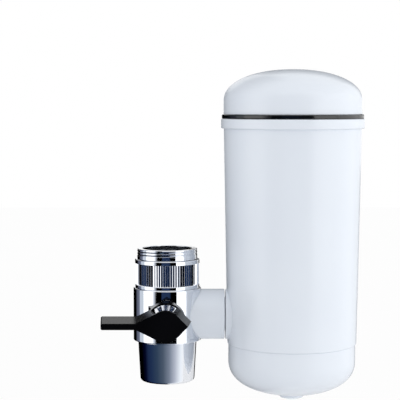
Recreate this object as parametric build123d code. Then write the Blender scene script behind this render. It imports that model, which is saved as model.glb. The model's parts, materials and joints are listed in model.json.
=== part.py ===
from build123d import *
import math
import os

# Lengths are in millimetres and angles in degrees. The origin is the centre of the adapter's threaded mouth.
# +Z points up, +X points from the valve to the filter, and the lever faces -Y.

# Fits
RUN_FIT = 0.05
LOOSE_FIT = 0.3
SQUARE_FIT = 0.05

# Adapter that screws on the end of a tap
TAP_THREAD_R = 11.46
TAP_THREAD_DEPTH = 7.0
WASHER_UNDERCUT = 0.44
WASHER_THICKNESS = 2.0
LEDGE_WIDTH = 3.46
ADAPTER_WALL = 1.1
ADAPTER_STEP = 1.0
ADAPTER_LENGTH = 12.0
THREAD_LENGTH = 4.2
THREAD_PITCH = 1.2
THREAD_DEPTH = 0.4
THREAD_LEAD = 0.1
WASHER_SEAT_R = TAP_THREAD_R + WASHER_UNDERCUT
ADAPTER_HOLE_R = TAP_THREAD_R - LEDGE_WIDTH
ADAPTER_NUT_R = WASHER_SEAT_R + ADAPTER_WALL
ADAPTER_R = ADAPTER_NUT_R + ADAPTER_STEP
ADAPTER_SHOULDER_Z = -THREAD_LENGTH
ADAPTER_BOTTOM_Z = -ADAPTER_LENGTH

# Union nut with its ribbed band
NUT_GAP = 0.1
NUT_WALL = 1.45
NUT_FLANGE_STEP = 0.3
NUT_FLANGE_HEIGHT = 3.0
NUT_LIP_STEP = 0.2
NUT_LIP_HEIGHT = 1.5
NUT_EDGE = 0.5
NUT_RIBS = 80
NUT_RIB_DEPTH = 0.5
RIB_FLANK_SHARE = 0.45
RIB_CREST_SHARE = 0.55
NUT_RIB_R = ADAPTER_NUT_R + LOOSE_FIT + NUT_WALL
NUT_FLANGE_R = NUT_RIB_R + NUT_FLANGE_STEP
NUT_LIP_R = NUT_RIB_R + NUT_LIP_STEP
NUT_TOP_Z = ADAPTER_SHOULDER_Z - NUT_GAP
NUT_FLANGE_Z = NUT_TOP_Z - NUT_FLANGE_HEIGHT

# Neck of the valve and what sits on it
GASKET_THICKNESS = 1.5
GASKET_SETBACK = 0.6
NECK_STEP = 2.2
NECK_GROOVE_DEPTH = 0.9
PILOT_LENGTH = 2.0
PILOT_WALL = 1.95
SNAP_SETBACK = 0.7
SNAP_THICKNESS = 1.2
SNAP_CLEARANCE = 0.4
SNAP_GAP = 3.0
NUT_LEDGE = 2.9
GASKET_R = ADAPTER_NUT_R - GASKET_SETBACK
NECK_R = ADAPTER_NUT_R - NECK_STEP
NECK_GROOVE_R = NECK_R - NECK_GROOVE_DEPTH
PILOT_R = ADAPTER_HOLE_R - RUN_FIT
PILOT_BORE_R = PILOT_R - PILOT_WALL
PILOT_TOP_Z = ADAPTER_BOTTOM_Z + PILOT_LENGTH
NECK_TOP_Z = ADAPTER_BOTTOM_Z - GASKET_THICKNESS
SNAP_R = ADAPTER_NUT_R - SNAP_CLEARANCE
SNAP_TOP_Z = NECK_TOP_Z - SNAP_SETBACK
SNAP_BOTTOM_Z = SNAP_TOP_Z - SNAP_THICKNESS

# Valve body
BODY_R = 15.8
BODY_HEIGHT = 24.6
BODY_EDGE = 0.3
AXIS_DROP = 12.7
PORT_R = 4.2
BOSS_LENGTH = 2.2
SPIGOT_STEP = 4.2
SPIGOT_LENGTH = 7.1
SPIGOT_WALL = 2.2
CHAMBER_ROOF = 3.6
BODY_TOP_Z = SNAP_BOTTOM_Z - NUT_LEDGE
BODY_BOTTOM_Z = BODY_TOP_Z - BODY_HEIGHT
NUT_LIP_Z = BODY_TOP_Z + NUT_LIP_HEIGHT
AXIS_Z = BODY_TOP_Z - AXIS_DROP
BOSS_OUT = BODY_R + BOSS_LENGTH
SPIGOT_R = BODY_R - SPIGOT_STEP
SPIGOT_Z = BODY_BOTTOM_Z - SPIGOT_LENGTH
CHAMBER_R = SPIGOT_R - SPIGOT_WALL
CHAMBER_Z = BODY_BOTTOM_Z - CHAMBER_ROOF

# Diverter spool and its stem, measured outwards from the valve's axis
SPOOL_R = 6.6
SPOOL_BACK = -9.0
SPOOL_FRONT = 10.0
SPOOL_PASSAGE = 5.2
SPOOL_CUT = -4.4
STEM_R = 3.0
STEM_FLAT = 1.1
STEM_SQUARE_LENGTH = 6.0
STEM_STANDOUT = 1.0
RING_SECTION_R = 0.65
RING_SINK = 0.85
FRONT_RING_SETBACK = 2.4
BACK_RING_SETBACK = 1.9
STEM_RING_SETBACK = 2.0
GROOVE_WIDTH = 1.5
STEM_SQUARE = (STEM_R - STEM_FLAT) * 2
SQUARE_HOLE = STEM_SQUARE + SQUARE_FIT * 2
SPOOL_RING_R = SPOOL_R - RING_SINK
SPOOL_RING_FRONT = SPOOL_FRONT - FRONT_RING_SETBACK
SPOOL_RING_BACK = SPOOL_BACK + BACK_RING_SETBACK
STEM_RING_R = STEM_R - RING_SINK
STEM_RING_OUT = BOSS_OUT + STEM_RING_SETBACK

# Bonnet that closes the spool's bore, built outwards from the stem
INSERT_WALL_R = 0.642
LEVER_BOSS_WALL = 0.8
BONNET_WALL = 1.1
BONNET_TAPER = 2.35
BONNET_SHOULDER = 1.2
BONNET_BAND = 7.0
BONNET_CONE_LENGTH = 11.0
CAVITY_DEPTH = 8.0
INSERT_FLOOR = 0.5
INSERT_R = SQUARE_HOLE / math.sqrt(2) + INSERT_WALL_R
LEVER_BOSS_R = INSERT_R + LOOSE_FIT + LEVER_BOSS_WALL
BONNET_CAVITY_R = LEVER_BOSS_R + LOOSE_FIT
BONNET_TIP_R = BONNET_CAVITY_R + BONNET_WALL
BONNET_R = BONNET_TIP_R + BONNET_TAPER
BONNET_SHANK_R = BONNET_R - BONNET_SHOULDER
BONNET_CONE = BOSS_OUT + BONNET_BAND
BONNET_FRONT = BONNET_CONE + BONNET_CONE_LENGTH
BONNET_CAVITY = BONNET_FRONT - CAVITY_DEPTH
STEM_SHOULDER = BONNET_CAVITY + STEM_STANDOUT
STEM_END = STEM_SHOULDER + STEM_SQUARE_LENGTH
INSERT_END = STEM_END + INSERT_FLOOR

# Lever
LEVER_PLATE = 1.2
LEVER_DEPTH = 15.0
LEVER_WALL = 0.9
LEVER_DRAFT = 0.95
LEVER_HALF_HEIGHT = 1.41
LEVER_REACH = 28.6
LEVER_TIP_EDGE = 0.5
LEVER_FLANK_SLOPE = 0.5
LEVER_RING_FIT = 0.1
LEVER_RING_WALL = 0.35
LEVER_RING_SETBACK = 0.5
WINDOW_START = 52.0
WINDOW_END = 141.0
LEVER_HUB_R = BONNET_TIP_R + LOOSE_FIT + LEVER_WALL
LEVER_FRONT = BONNET_FRONT + LOOSE_FIT + LEVER_PLATE
LEVER_BACK = LEVER_FRONT - LEVER_DEPTH
LEVER_RING_BORE_R = BONNET_R + LEVER_RING_FIT
LEVER_RING_R = LEVER_RING_BORE_R + LEVER_RING_WALL
LEVER_RING_BACK = BOSS_OUT + LEVER_RING_SETBACK
LEVER_BOSS_END = STEM_SHOULDER + LOOSE_FIT

# Aerator
SHELL_GAP = 0.2
SHELL_STEP = 2.11
SHELL_LENGTH = 19.1
SHELL_TAPER = 1.07
SHELL_CORNER = 1.4
SHELL_LEDGE = 0.65
SHELL_MOUTH_STEP = 1.0
SHELL_LIP = 1.5
AERATOR_WASHER = 1.2
INSERT_FLANGE = 1.0
INSERT_WALL = 1.2
INSERT_GRID = 1.7
CELL_RIB = 0.3
CELL_COUNT = 5
CELL_SHARE = 0.21
CELL_REACH_SHARE = 0.78
SCREEN_THICKNESS = 0.4
SCREEN_LEDGE = 0.7
SCREEN_RIM = 1.5
SCREEN_COUNT = 7
SCREEN_HOLE_SHARE = 0.6364
SHELL_TOP_R = BODY_R - SHELL_STEP
SHELL_TOP_Z = BODY_BOTTOM_Z - SHELL_GAP
SHELL_BOTTOM_R = SHELL_TOP_R - SHELL_TAPER
SHELL_BOTTOM_Z = SHELL_TOP_Z - SHELL_LENGTH
SHELL_THREAD_R = SPIGOT_R + RUN_FIT
SHELL_INNER_R = SHELL_THREAD_R - SHELL_LEDGE
SHELL_MOUTH_R = SHELL_INNER_R - SHELL_MOUTH_STEP
SHELL_LEDGE_Z = SPIGOT_Z - AERATOR_WASHER - INSERT_FLANGE
INSERT_FLANGE_R = SHELL_THREAD_R - LOOSE_FIT
INSERT_BODY_R = SHELL_INNER_R - LOOSE_FIT
INSERT_INNER_R = INSERT_BODY_R - INSERT_WALL
SCREEN_LEDGE_R = INSERT_INNER_R - SCREEN_LEDGE

# Arm from the valve to the filter
ARM_R = 11.7
ARM_LENGTH = 10.9
ARM_GROOVE = 0.45
ARM_SPIGOT_R = 7.0
SOCKET_WALL = 1.95
ARM_TAIL_R = 7.8
ARM_TAIL = 5.1
ARM_RING_SECTION_R = 0.8
VALVE_RING_SETBACK = 2.2
FILTER_RING_SETBACK = 1.6
CLIP_SETBACK = 2.9
CLIP_WIDTH = 0.8
CLIP_STANDOUT = 0.8
ARM_END_X = BODY_R + ARM_LENGTH
ARM_SOCKET_X = SPOOL_R + RUN_FIT + SOCKET_WALL
ARM_TAIL_X = ARM_END_X + ARM_TAIL
CLIP_R = ARM_TAIL_R + CLIP_STANDOUT
CLIP_X = ARM_END_X + CLIP_SETBACK

# Filter housing, which stands at the arm's end
HOUSING_BOTTOM_R = 30.15
HOUSING_FLARE = 1.82
HOUSING_HEIGHT = 104.8
HOUSING_DROP = 13.5
HOUSING_WALL = 2.5
HOUSING_NECK = 1.1
BOSS_STANDOFF = 1.45
COLLAR_STEP = 1.28
COLLAR_HEIGHT = 4.5
COLLAR_EDGE = 0.35
MOUTH_WALL = 4.05
MOUTH_DEPTH = 13.8
INNER_BOSS_R = 10.3
INNER_BOSS_LENGTH = 7.05
FILTER_X = ARM_END_X + BOSS_STANDOFF + HOUSING_BOTTOM_R
HOUSING_TOP_R = HOUSING_BOTTOM_R + HOUSING_FLARE
HOUSING_BOTTOM_Z = AXIS_Z - HOUSING_DROP
HOUSING_TOP_Z = HOUSING_BOTTOM_Z + HOUSING_HEIGHT
COLLAR_R = HOUSING_TOP_R + COLLAR_STEP
COLLAR_Z = HOUSING_TOP_Z - COLLAR_HEIGHT
MOUTH_Z = HOUSING_TOP_Z - MOUTH_DEPTH
INNER_BOSS_X = ARM_END_X + ARM_GROOVE + INNER_BOSS_LENGTH

# Seal ring and top cap
SEAL_THICKNESS = 2.0
SEAL_EDGE = 0.4
SEAL_STEP = 0.3
CAP_STEP = 1.2
CAP_SIDE = 6.54
CAP_DOME_HEIGHT = 14.27
CAP_FULLNESS = 2.13
CAP_WALL = 2.4
SKIRT_WALL = 2.3
SKIRT_LENGTH = 12.0
SEAL_R = COLLAR_R - SEAL_STEP
CAP_R = COLLAR_R - CAP_STEP
CAP_LOW_Z = HOUSING_TOP_Z + SEAL_THICKNESS
CAP_DOME_Z = CAP_LOW_Z + CAP_SIDE
SKIRT_R = COLLAR_R - MOUTH_WALL - LOOSE_FIT

# Bottom cap with the outlet of filtered water
BOTTOM_STEP = 0.48
BOTTOM_SIDE = 8.2
BOTTOM_EDGE = 0.25
BOTTOM_DOME_HEIGHT = 15.63
BOTTOM_FULLNESS = 2.28
BOTTOM_WALL = 2.4
BOTTOM_SPIGOT = 2.5
BOTTOM_SPIGOT_WALL = 2.0
NUB_BORE_R = 3.4
NUB_WALL = 2.2
NUB_LENGTH = 2.07
NUB_EDGE = 0.9
SOCKET_SIDE = 2.3
SOCKET_HEIGHT = 12.33
GUSSETS = 4
GUSSET_WIDTH = 1.6
GUSSET_REACH = 10.4
GUSSET_TIP = 2.4
BOTTOM_R = HOUSING_BOTTOM_R - BOTTOM_STEP
BOTTOM_DOME_Z = HOUSING_BOTTOM_Z - BOTTOM_SIDE
BOTTOM_POLE_Z = BOTTOM_DOME_Z - BOTTOM_DOME_HEIGHT
NUB_R = NUB_BORE_R + NUB_WALL
NUB_Z = BOTTOM_POLE_Z - NUB_LENGTH
SOCKET_TOP_Z = BOTTOM_POLE_Z + SOCKET_HEIGHT

# Cartridge
CART_GAP = 5.15
CART_HEADROOM = 8.5
CART_DISC = 3.0
CART_BORE_R = 2.8
CART_SPIGOT_WALL = 2.2
CART_SPIGOT_LENGTH = 7.5
CART_RING_SINK = 0.75
CART_RING_SETBACK = 4.0
SLEEVE_WALL = 1.2
SLEEVE_COLUMNS = 8
SLEEVE_ROWS = 4
SLEEVE_WINDOW_SHARE = 0.5659
SLEEVE_BAR = 4.0
WRAP_WALL = 0.7
CARBON_BORE_R = 6.0
KNOB_R = 5.0
KNOB_HEIGHT = 6.0
CART_R = HOUSING_BOTTOM_R - HOUSING_WALL - CART_GAP
CART_TOP_Z = MOUTH_Z - CART_HEADROOM
CART_SPIGOT_R = CART_BORE_R + CART_SPIGOT_WALL
CART_SPIGOT_Z = SOCKET_TOP_Z - CART_SPIGOT_LENGTH
CART_RING_R = CART_SPIGOT_R - CART_RING_SINK
CART_RING_Z = SOCKET_TOP_Z - CART_RING_SETBACK
SOCKET_BORE_R = CART_SPIGOT_R + LOOSE_FIT
SOCKET_R = SOCKET_BORE_R + SOCKET_SIDE
SLEEVE_WINDOW_WIDTH = CART_R * 2 * math.pi / SLEEVE_COLUMNS * SLEEVE_WINDOW_SHARE

DOME_STEPS = 14


def turned(*points):
    """Solid turned about the vertical axis from a closed outline of (radius, height) points."""
    outline = Polyline(*[(radius, 0, height) for radius, height in points], close=True)
    return revolve(make_face(outline.edges()), Axis.Z)


def tube(outer, inner, low, high):
    """Tube about the vertical axis between two heights."""
    return turned((inner, low), (outer, low), (outer, high), (inner, high))


def rod(radius, low, high):
    """Solid cylinder about the vertical axis between two heights."""
    return turned((0, low), (radius, low), (radius, high), (0, high))


def o_ring(centre_r, section_r, height):
    """Round ring of round section about the vertical axis."""
    return Pos(0, 0, height) * Torus(centre_r, section_r)


def to_front(shape):
    """Lay a shape drawn about +Z so that its axis is the lever's, running out to the front."""
    return Pos(0, 0, AXIS_Z) * Rot(90, 0, 0) * shape


def to_side(shape):
    """Lay a shape drawn about +Z so that its axis is the arm's, running towards the filter."""
    return Pos(0, 0, AXIS_Z) * Rot(0, 90, 0) * shape


def at_filter(shape):
    """Move a shape from the valve's axis to the filter's."""
    return Pos(FILTER_X, 0, 0) * shape


def dome_curve(radius, base, height, fullness):
    """Quarter of a squared ellipse from the rim at the base to the pole on the axis."""
    points = []
    for step in range(DOME_STEPS):
        angle = step / DOME_STEPS * math.pi / 2
        across = radius * math.cos(angle) ** (2 / fullness)
        points.append((across, 0, base + height * math.sin(angle) ** (2 / fullness)))
    points.append((0, 0, base + height))
    return Spline(*points, tangents=[(0, 0, math.copysign(1, height)), (-1, 0, 0)])


def dome_rise(across, radius, height, fullness):
    """Height of a squared ellipse above its base at a distance from the axis."""
    return height * (1 - (across / radius) ** fullness) ** (1 / fullness)


def domed(outer, inner, *rim):
    """Dome shell turned from two curves, joined at the rim by straight lines through the given points."""
    start = inner @ 0
    end = outer @ 0
    corners = [start] + [(radius, 0, height) for radius, height in rim] + [end]
    edges = list(Polyline(*corners).edges())
    edges += [outer.edge(), Line(outer @ 1, inner @ 1).edge(), inner.edge()]
    return revolve(make_face(edges), Axis.Z)


def faucet_adapter():
    """Threaded sleeve: fine thread outside at the top, plain seat for the nut below, ledge inside."""
    root_r = ADAPTER_R - THREAD_DEPTH
    quarter = THREAD_PITCH / 4
    outline = [(TAP_THREAD_R, 0), (ADAPTER_R - THREAD_LEAD, 0)]
    teeth = []
    for index in range(math.ceil(THREAD_LENGTH / THREAD_PITCH)):
        top = -THREAD_LEAD - index * THREAD_PITCH
        teeth += [(ADAPTER_R, top), (ADAPTER_R, top - quarter)]
        teeth += [(root_r, top - quarter * 2), (root_r, top - quarter * 3)]
    outline += [point for point in teeth if point[1] > ADAPTER_SHOULDER_Z]
    outline += [(root_r, ADAPTER_SHOULDER_Z), (ADAPTER_NUT_R, ADAPTER_SHOULDER_Z)]
    seat_z = -TAP_THREAD_DEPTH - WASHER_THICKNESS
    outline += [(ADAPTER_NUT_R, ADAPTER_BOTTOM_Z), (ADAPTER_HOLE_R, ADAPTER_BOTTOM_Z)]
    outline += [(ADAPTER_HOLE_R, seat_z), (WASHER_SEAT_R, seat_z)]
    outline += [(WASHER_SEAT_R, -TAP_THREAD_DEPTH), (TAP_THREAD_R, -TAP_THREAD_DEPTH)]
    return turned(*outline)


def faucet_washer():
    """Rubber washer on the adapter's ledge."""
    high = -TAP_THREAD_DEPTH
    return tube(WASHER_SEAT_R - LOOSE_FIT, ADAPTER_HOLE_R + LOOSE_FIT, high - WASHER_THICKNESS, high)


def ribbed_band(crest, root, count, low, high):
    """Prism whose outline has sharp ribs, each with a narrow flat top."""
    points = []
    for index in range(count):
        for share, radius in ((0.0, root), (RIB_FLANK_SHARE, crest), (RIB_CREST_SHARE, crest)):
            angle = 2 * math.pi * (index + share) / count
            points.append((radius * math.cos(angle), radius * math.sin(angle)))
    face = make_face(Polyline(*points, close=True).edges())
    return Pos(0, 0, low) * extrude(face, amount=high - low)


def union_nut():
    """Ribbed nut with a rounded flange above and a lip below, held on the neck by its inner ledge."""
    band = ribbed_band(NUT_RIB_R, NUT_RIB_R - NUT_RIB_DEPTH, NUT_RIBS, NUT_LIP_Z, NUT_FLANGE_Z)
    flange = turned(
        (0, NUT_FLANGE_Z),
        (NUT_FLANGE_R - NUT_EDGE / 2, NUT_FLANGE_Z),
        (NUT_FLANGE_R, NUT_FLANGE_Z + NUT_EDGE / 2),
        (NUT_FLANGE_R, NUT_TOP_Z - NUT_EDGE),
        (NUT_FLANGE_R - NUT_EDGE, NUT_TOP_Z),
        (0, NUT_TOP_Z),
    )
    lip = turned(
        (0, BODY_TOP_Z),
        (NUT_LIP_R - NUT_EDGE / 2, BODY_TOP_Z),
        (NUT_LIP_R, BODY_TOP_Z + NUT_EDGE / 2),
        (NUT_LIP_R, NUT_LIP_Z),
        (0, NUT_LIP_Z),
    )
    hollow = rod(ADAPTER_NUT_R + RUN_FIT, ADAPTER_BOTTOM_Z, NUT_TOP_Z)
    hollow += rod(ADAPTER_NUT_R + LOOSE_FIT, SNAP_BOTTOM_Z, ADAPTER_BOTTOM_Z)
    hollow += rod(NECK_R + RUN_FIT, BODY_TOP_Z, SNAP_BOTTOM_Z)
    return band + flange + lip - hollow


def neck_gasket():
    """Flat rubber ring pressed between the adapter and the neck."""
    return tube(GASKET_R, ADAPTER_HOLE_R + LOOSE_FIT, NECK_TOP_Z, ADAPTER_BOTTOM_Z)


def neck_snap_ring():
    """Split ring in the neck's groove that keeps the nut from leaving."""
    ring = tube(SNAP_R, NECK_GROOVE_R + LOOSE_FIT, SNAP_BOTTOM_Z, SNAP_TOP_Z)
    gap = Pos(0, (SNAP_R + NECK_GROOVE_R) / 2, (SNAP_TOP_Z + SNAP_BOTTOM_Z) / 2)
    return ring - gap * Box(SNAP_GAP, SNAP_R, SNAP_TOP_Z - SNAP_BOTTOM_Z)


def valve_outside():
    """Body, neck, front boss and lower spigot of the valve, all solid."""
    shape = turned(
        (0, SPIGOT_Z),
        (SPIGOT_R, SPIGOT_Z),
        (SPIGOT_R, BODY_BOTTOM_Z),
        (BODY_R - BODY_EDGE, BODY_BOTTOM_Z),
        (BODY_R, BODY_BOTTOM_Z + BODY_EDGE),
        (BODY_R, BODY_TOP_Z - BODY_EDGE),
        (BODY_R - BODY_EDGE, BODY_TOP_Z),
        (NECK_R, BODY_TOP_Z),
        (NECK_R, SNAP_BOTTOM_Z),
        (NECK_GROOVE_R, SNAP_BOTTOM_Z),
        (NECK_GROOVE_R, SNAP_TOP_Z),
        (NECK_R, SNAP_TOP_Z),
        (NECK_R, NECK_TOP_Z),
        (PILOT_R, NECK_TOP_Z),
        (PILOT_R, PILOT_TOP_Z),
        (0, PILOT_TOP_Z),
    )
    return shape + to_front(rod(BONNET_R, 0, BOSS_OUT))


def valve_body():
    """Plated body with crossing bores for the inlet, the spool, the aerator and the arm."""
    shape = valve_outside()
    shape -= rod(PILOT_BORE_R, BODY_TOP_Z, PILOT_TOP_Z)
    shape -= rod(PORT_R, SPIGOT_Z, BODY_TOP_Z)
    shape -= rod(CHAMBER_R, SPIGOT_Z, CHAMBER_Z)
    shape -= to_front(rod(SPOOL_R + RUN_FIT, SPOOL_BACK, SPOOL_FRONT))
    shape -= to_front(rod(BONNET_SHANK_R + LOOSE_FIT, SPOOL_FRONT, BOSS_OUT))
    shape -= to_side(rod(PORT_R, 0, ARM_SOCKET_X))
    shape -= to_side(rod(ARM_SPIGOT_R + LOOSE_FIT, ARM_SOCKET_X, BODY_R))
    return shape


def bonnet():
    """Plated cone that screws into the boss and carries the stem."""
    return to_front(
        turned(
            (STEM_R + RUN_FIT, SPOOL_FRONT),
            (BONNET_SHANK_R, SPOOL_FRONT),
            (BONNET_SHANK_R, BOSS_OUT),
            (BONNET_R, BOSS_OUT),
            (BONNET_R, BONNET_CONE),
            (BONNET_TIP_R, BONNET_FRONT),
            (BONNET_CAVITY_R, BONNET_FRONT),
            (BONNET_CAVITY_R, BONNET_CAVITY),
            (STEM_R + RUN_FIT, BONNET_CAVITY),
        )
    )


def groove(outer, depth_r, centre):
    """Ring to be cut for an O-ring, from the outside of a shaft down to the groove's floor."""
    return tube(outer + LOOSE_FIT, depth_r, centre - GROOVE_WIDTH / 2, centre + GROOVE_WIDTH / 2)


def valve_spool():
    """Segment plug: one side closes a port of the body while the cut side joins the two others."""
    cut_height = SPOOL_R * 2
    shape = rod(SPOOL_R, SPOOL_BACK, SPOOL_FRONT)
    shape -= Pos(0, SPOOL_CUT + cut_height / 2, 0) * Box(SPOOL_R * 3, cut_height, SPOOL_PASSAGE * 2)
    floor_r = SPOOL_RING_R - RING_SECTION_R - RUN_FIT
    for centre in (SPOOL_RING_FRONT, SPOOL_RING_BACK):
        shape -= groove(SPOOL_R, floor_r, centre)
    stem = rod(STEM_R, SPOOL_FRONT, STEM_SHOULDER)
    stem -= groove(STEM_R, STEM_RING_R - RING_SECTION_R - RUN_FIT, STEM_RING_OUT)
    middle = (STEM_SHOULDER + STEM_END) / 2
    square = Pos(0, 0, middle) * Box(STEM_SQUARE, STEM_SQUARE, STEM_SQUARE_LENGTH)
    return to_front(shape + stem + square)


def lever_face(growth, out):
    """Flat outline of the lever at one distance out: square pointer, flanks and slim handle."""
    hub = LEVER_HUB_R + growth
    tip = -LEVER_REACH - growth
    half_height = LEVER_HALF_HEIGHT + growth
    slant = math.hypot(1, LEVER_FLANK_SLOPE)
    flank_x = (half_height - hub * slant) / LEVER_FLANK_SLOPE
    upper = [
        (hub * math.sqrt(2), 0),
        (hub / math.sqrt(2), hub / math.sqrt(2)),
        (-hub * LEVER_FLANK_SLOPE / slant, hub / slant),
        (flank_x, half_height),
        (tip + LEVER_TIP_EDGE, half_height),
        (tip, half_height - LEVER_TIP_EDGE),
    ]
    lower = [(x, -y) for x, y in reversed(upper[1:])]
    points = [(x, y, out) for x, y in upper + lower]
    return make_face(Polyline(*points, close=True).edges())


def lever():
    """Black lever: thin front plate, walls reaching back to a ring on the bonnet, open above and below."""
    front = lever_face(0, LEVER_FRONT)
    back = lever_face(LEVER_DRAFT, LEVER_BACK)
    plate_back = LEVER_FRONT - LEVER_PLATE
    shape = loft([back, front], ruled=True)
    shape += turned(
        (0, LEVER_RING_BACK),
        (LEVER_RING_R, LEVER_RING_BACK),
        (LEVER_RING_R, BONNET_CONE),
        (LEVER_HUB_R, LEVER_FRONT),
        (0, LEVER_FRONT),
    )
    shape -= turned(
        (0, LEVER_RING_BACK),
        (LEVER_RING_BORE_R, LEVER_RING_BACK),
        (LEVER_RING_BORE_R, BONNET_CONE),
        (BONNET_TIP_R + LOOSE_FIT, plate_back),
        (0, plate_back),
    )
    middle = (WINDOW_START + WINDOW_END) / 2
    for side in (1, -1):
        corners = [(0, 0)]
        for angle in (WINDOW_START, middle, WINDOW_END):
            turn = math.radians(angle) * side
            corners.append((LEVER_RING_R * 2 * math.cos(turn), LEVER_RING_R * 2 * math.sin(turn)))
        wedge = make_face(Polyline(*corners, close=True).edges())
        shape -= Pos(0, 0, BONNET_CONE) * extrude(wedge, amount=plate_back - BONNET_CONE, dir=(0, 0, 1))
    shape += rod(LEVER_BOSS_R, LEVER_BOSS_END, plate_back)
    shape -= rod(INSERT_R + LOOSE_FIT, LEVER_BOSS_END, INSERT_END)
    return to_front(shape)


def lever_insert():
    """Metal sleeve in the lever's boss with a square hole for the stem."""
    length = INSERT_END - STEM_SHOULDER
    hole = Pos(0, 0, STEM_SHOULDER + length / 2) * Box(SQUARE_HOLE, SQUARE_HOLE, length)
    return to_front(rod(INSERT_R, STEM_SHOULDER, INSERT_END) - hole)


def aerator_shell():
    """Tapered plated sleeve that screws on the body's spigot and holds the aerator's insert."""
    taper = (SHELL_TOP_R - SHELL_BOTTOM_R) / (SHELL_TOP_Z - SHELL_BOTTOM_Z)
    corner_z = SHELL_BOTTOM_Z + SHELL_CORNER
    side_r = SHELL_BOTTOM_R + taper * SHELL_CORNER
    points = [(side_r, corner_z), (SHELL_TOP_R, SHELL_TOP_Z), (SHELL_THREAD_R, SHELL_TOP_Z)]
    points += [(SHELL_THREAD_R, SHELL_LEDGE_Z), (SHELL_INNER_R, SHELL_LEDGE_Z)]
    points += [(SHELL_INNER_R, SHELL_BOTTOM_Z + SHELL_LIP), (SHELL_MOUTH_R, SHELL_BOTTOM_Z + SHELL_LIP)]
    points += [(SHELL_MOUTH_R, SHELL_BOTTOM_Z), (side_r - SHELL_CORNER, SHELL_BOTTOM_Z)]
    side = Polyline(*[(radius, 0, height) for radius, height in points])
    middle = SHELL_CORNER * (1 - math.sqrt(0.5))
    corner = ThreePointArc(side @ 1, (side_r - middle, 0, SHELL_BOTTOM_Z + middle), side @ 0)
    return revolve(make_face(list(side.edges()) + [corner.edge()]), Axis.Z)


def aerator_washer():
    """Rubber washer between the body's spigot and the aerator's insert."""
    return tube(INSERT_FLANGE_R, CHAMBER_R, SHELL_LEDGE_Z + INSERT_FLANGE, SPIGOT_Z)


def aerator_insert():
    """Plastic cup with a honeycomb floor that evens the stream."""
    top = SHELL_LEDGE_Z + INSERT_FLANGE
    low = SHELL_BOTTOM_Z + SHELL_LIP
    shape = turned(
        (0, low),
        (INSERT_BODY_R, low),
        (INSERT_BODY_R, SHELL_LEDGE_Z),
        (INSERT_FLANGE_R, SHELL_LEDGE_Z),
        (INSERT_FLANGE_R, top),
        (INSERT_INNER_R, top),
        (INSERT_INNER_R, top - SCREEN_THICKNESS),
        (SCREEN_LEDGE_R, top - SCREEN_THICKNESS),
        (SCREEN_LEDGE_R, low + INSERT_GRID),
        (0, low + INSERT_GRID),
    )
    spacing = SCREEN_LEDGE_R * CELL_SHARE
    drill = Pos(0, 0, low) * extrude(RegularPolygon(spacing - CELL_RIB, 6), amount=INSERT_GRID)
    for place in HexLocations(spacing, CELL_COUNT, CELL_COUNT, major_radius=False):
        if place.position.length < SCREEN_LEDGE_R * CELL_REACH_SHARE:
            shape -= place * drill
    return shape


def aerator_screen():
    """Thin perforated disc on the insert's ledge."""
    top = SHELL_LEDGE_Z + INSERT_FLANGE
    radius = INSERT_INNER_R - LOOSE_FIT
    shape = rod(radius, top - SCREEN_THICKNESS, top)
    pitch = (radius - SCREEN_RIM) * 2 / SCREEN_COUNT
    hole = pitch * SCREEN_HOLE_SHARE
    drill = Pos(0, 0, top - SCREEN_THICKNESS / 2) * Box(hole, hole, SCREEN_THICKNESS)
    for place in GridLocations(pitch, pitch, SCREEN_COUNT, SCREEN_COUNT):
        if place.position.length < pitch * SCREEN_COUNT / 2:
            shape -= place * drill
    return shape


def outlet_arm():
    """White plastic arm: saddle on the body, spigot in its port, and a tail in the housing's boss."""
    shape = to_side(rod(ARM_R, 0, ARM_END_X)) - rod(BODY_R + LOOSE_FIT, AXIS_Z - ARM_R, AXIS_Z + ARM_R)
    core = rod(ARM_SPIGOT_R, ARM_SOCKET_X, ARM_END_X) + rod(ARM_TAIL_R, ARM_END_X, ARM_TAIL_X)
    for outer, ring_r, x in arm_rings():
        core -= groove_for_arm(outer, ring_r, x)
    core -= tube(ARM_TAIL_R + LOOSE_FIT, ARM_TAIL_R - CLIP_WIDTH, CLIP_X, CLIP_X + CLIP_WIDTH)
    return shape + to_side(core) - to_side(rod(PORT_R, ARM_SOCKET_X, ARM_TAIL_X))


def arm_rings():
    """Outer radius of the shaft, centre radius of the O-ring and its place along the arm, for both ends."""
    sink = ARM_RING_SECTION_R - LOOSE_FIT / 2
    valve_end = (ARM_SPIGOT_R, ARM_SPIGOT_R - sink, ARM_SOCKET_X + VALVE_RING_SETBACK)
    filter_end = (ARM_TAIL_R, ARM_TAIL_R - sink, ARM_END_X + FILTER_RING_SETBACK)
    return valve_end, filter_end


def groove_for_arm(outer, ring_r, x):
    """Ring to be cut in the arm for one O-ring."""
    floor_r = ring_r - ARM_RING_SECTION_R - RUN_FIT
    half = ARM_RING_SECTION_R + RUN_FIT
    return tube(outer + LOOSE_FIT, floor_r, x - half, x + half)


def arm_o_ring(index):
    """O-ring at the valve end (0) or the filter end (1) of the arm."""
    ring_r, x = arm_rings()[index][1:]
    return to_side(o_ring(ring_r, ARM_RING_SECTION_R, x))


def arm_clip():
    """Split retaining ring that locks the arm's tail in the housing's boss."""
    ring = tube(CLIP_R, ARM_TAIL_R - CLIP_WIDTH + LOOSE_FIT / 2, CLIP_X, CLIP_X + CLIP_WIDTH)
    gap = Pos(0, CLIP_R, CLIP_X + CLIP_WIDTH / 2) * Box(SNAP_GAP, CLIP_R, CLIP_WIDTH)
    return to_side(ring - gap)


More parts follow.
